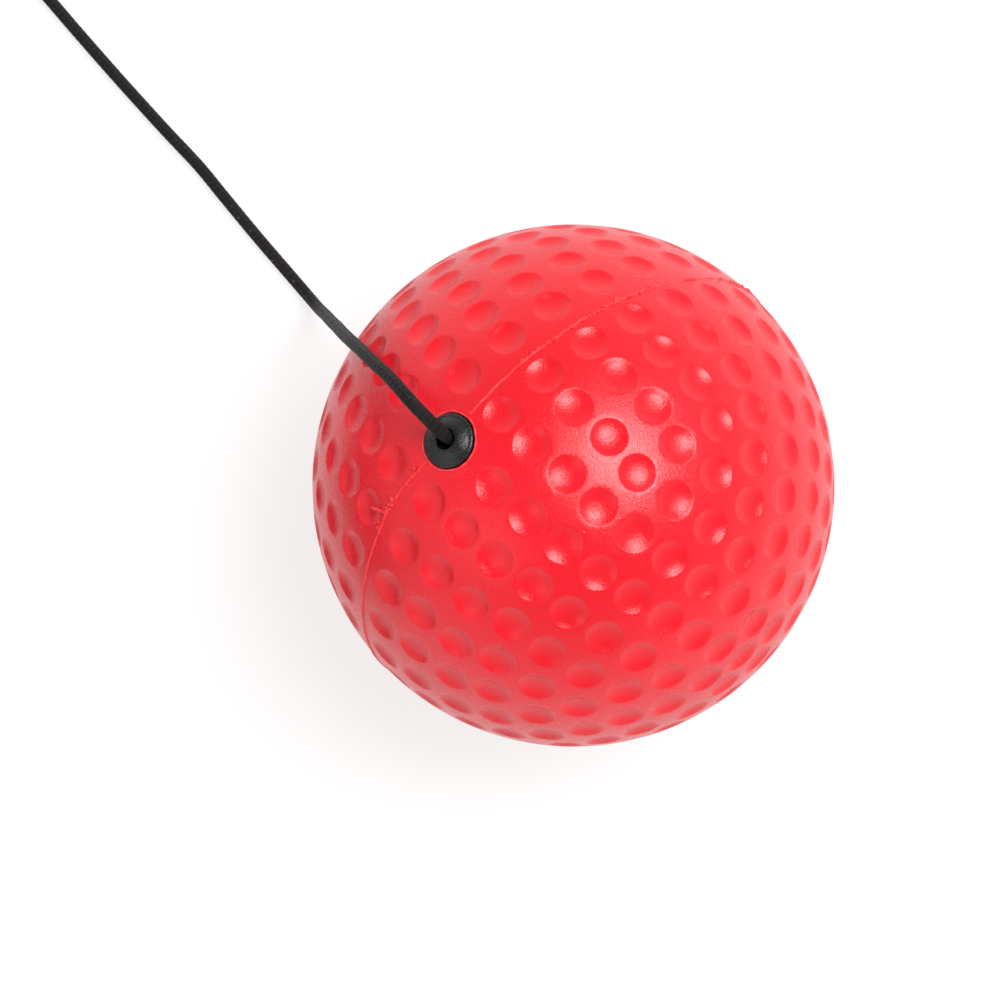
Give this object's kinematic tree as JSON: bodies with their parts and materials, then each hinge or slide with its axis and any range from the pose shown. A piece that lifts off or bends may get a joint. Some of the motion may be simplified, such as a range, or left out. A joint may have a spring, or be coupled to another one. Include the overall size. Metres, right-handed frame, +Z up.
{
  "type": "reflex ball headband",
  "caption": "Dimpled foam reflex ball on a thin elastic cord, with a swivel snap hook that clips to the ring of an adjustable fabric headband.",
  "frame": {"origin": "on the surface it lies on, under the middle of the ball, headband and hook together", "axes": "+Z up from the surface, +X from the headband to the ball, +Y out of the headband's front"},
  "size_m": [0.2676, 0.198, 0.0649],
  "materials": {
    "red_foam": "satin moulded skin",
    "black_plastic": "satin",
    "cord": "fine braid",
    "webbing": "woven",
    "elastic_strap": "ribbed elastic",
    "padded_fabric": "knitted cover over foam",
    "silicone": "satin",
    "fastener_loop": "brushed loop pile",
    "fastener_hook": "small moulded hooks",
    "plated_metal": "nickel plated"
  },
  "bodies": {
    "cord_and_hook": {"cord_lead": "cord", "cord_coil": "cord", "coil_tie": "webbing", "cord_tail": "cord", "ball_knot": "cord", "snap_hook_body": "plated_metal", "gate_pin": "plated_metal", "gate_spring": "plated_metal"},
    "ball": {"ball_foam": "red_foam", "cord_plug": "black_plastic", "stop_washer": "black_plastic"},
    "swivel": {"swivel_eye": "plated_metal", "hook_knot": "cord"},
    "gate": {"snap_gate": "plated_metal"},
    "ring": {"d_ring": "plated_metal"},
    "headband": {"ring_tab": "webbing", "front_panel": "padded_fabric", "front_patch": "padded_fabric", "grip_strip_lower": "silicone", "grip_strip_upper": "silicone", "strap_left": "elastic_strap", "strap_right": "elastic_strap", "closure_ring": "black_plastic", "loop_patch": "fastener_loop", "hook_patch": "fastener_hook"},
    "pull_tab": {"pull_tab": "black_plastic"}
  },
  "joints": [
    {"name": "ball_spin", "type": "hinge", "parent": "cord_and_hook", "child": "ball", "pos_m": [0.10138, -0.00057, 0.0325], "axis": [-0.462, 0.156, 0.873], "continuous": true},
    {"name": "swivel_turn", "type": "hinge", "parent": "cord_and_hook", "child": "swivel", "pos_m": [-0.04263, 0.08832, 0.00634], "axis": [0.9237, -0.2824, -0.2588], "continuous": true},
    {"name": "gate_open", "type": "hinge", "parent": "cord_and_hook", "child": "gate", "pos_m": [-0.04313, 0.09329, 0.00686], "axis": [0.2475, -0.0757, 0.9659], "range_deg": [0, 25], "stiffness_Nm_per_rad": 0.01, "springref_deg": -17.19},
    {"name": "ring_swing", "type": "hinge", "parent": "cord_and_hook", "child": "ring", "pos_m": [-0.06026, 0.09371, 0.013], "axis": [0, 0, 1], "range_deg": [-70, 0]},
    {"name": "band_swing", "type": "hinge", "parent": "ring", "child": "headband", "pos_m": [-0.06882, 0.09093, 0.013], "axis": [0, 0, 1], "range_deg": [-144, 0]},
    {"name": "pull_tab_lift", "type": "hinge", "parent": "headband", "child": "pull_tab", "pos_m": [-0.002, -0.0371, 0.019], "axis": [0, 0, -1], "range_deg": [0, 60]}
  ]
}
